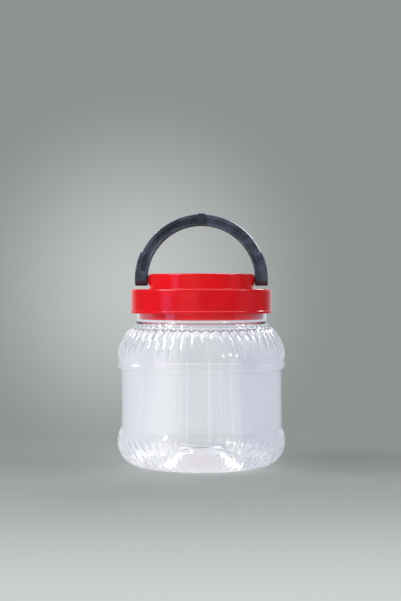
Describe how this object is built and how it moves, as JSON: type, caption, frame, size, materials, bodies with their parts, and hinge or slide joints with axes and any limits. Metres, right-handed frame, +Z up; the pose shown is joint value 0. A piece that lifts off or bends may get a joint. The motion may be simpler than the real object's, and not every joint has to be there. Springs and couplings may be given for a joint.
{
  "type": "storage jar",
  "caption": "Wide-mouth clear storage jar with fluted shoulder and heel, red two-tier screw lid over an inner plug, and a black arched carry handle that folds down.",
  "frame": {"origin": "centre of the jar's foot ring, on the surface it stands on", "axes": "+Z up along the jar's axis; X along the handle's pivot axis; the handle stands in the XZ plane"},
  "size_m": [0.167, 0.167, 0.2505],
  "materials": {
    "clear_pet": "clear, glossy, blow-moulded",
    "red_plastic": "glossy, injection-moulded",
    "black_plastic": "satin, injection-moulded",
    "white_foam": "soft closed-cell foam"
  },
  "bodies": {
    "jar": {"jar": "clear_pet"},
    "plug": {"inner_plug": "red_plastic"},
    "lid": {"screw_lid": "red_plastic", "liner": "white_foam"},
    "handle": {"handle": "black_plastic"}
  },
  "joints": [
    {"name": "lid_rise", "type": "slide", "parent": "jar", "child": "plug", "axis": [0, 0, 1], "range_m": [0, 0.0302]},
    {"name": "lid_turn", "type": "hinge", "parent": "plug", "child": "lid", "pos_m": [0, 0, 0.17], "axis": [0, 0, 1], "range_deg": [0, 900]},
    {"name": "handle_swing", "type": "hinge", "parent": "lid", "child": "handle", "pos_m": [0, 0, 0.18446], "axis": [1, 0, 0], "range_deg": [-92.5, 92.5]}
  ],
  "couplings": [
    {"joint": "lid_rise", "follows": "lid_turn", "m_per_rad": 0.0019099}
  ]
}
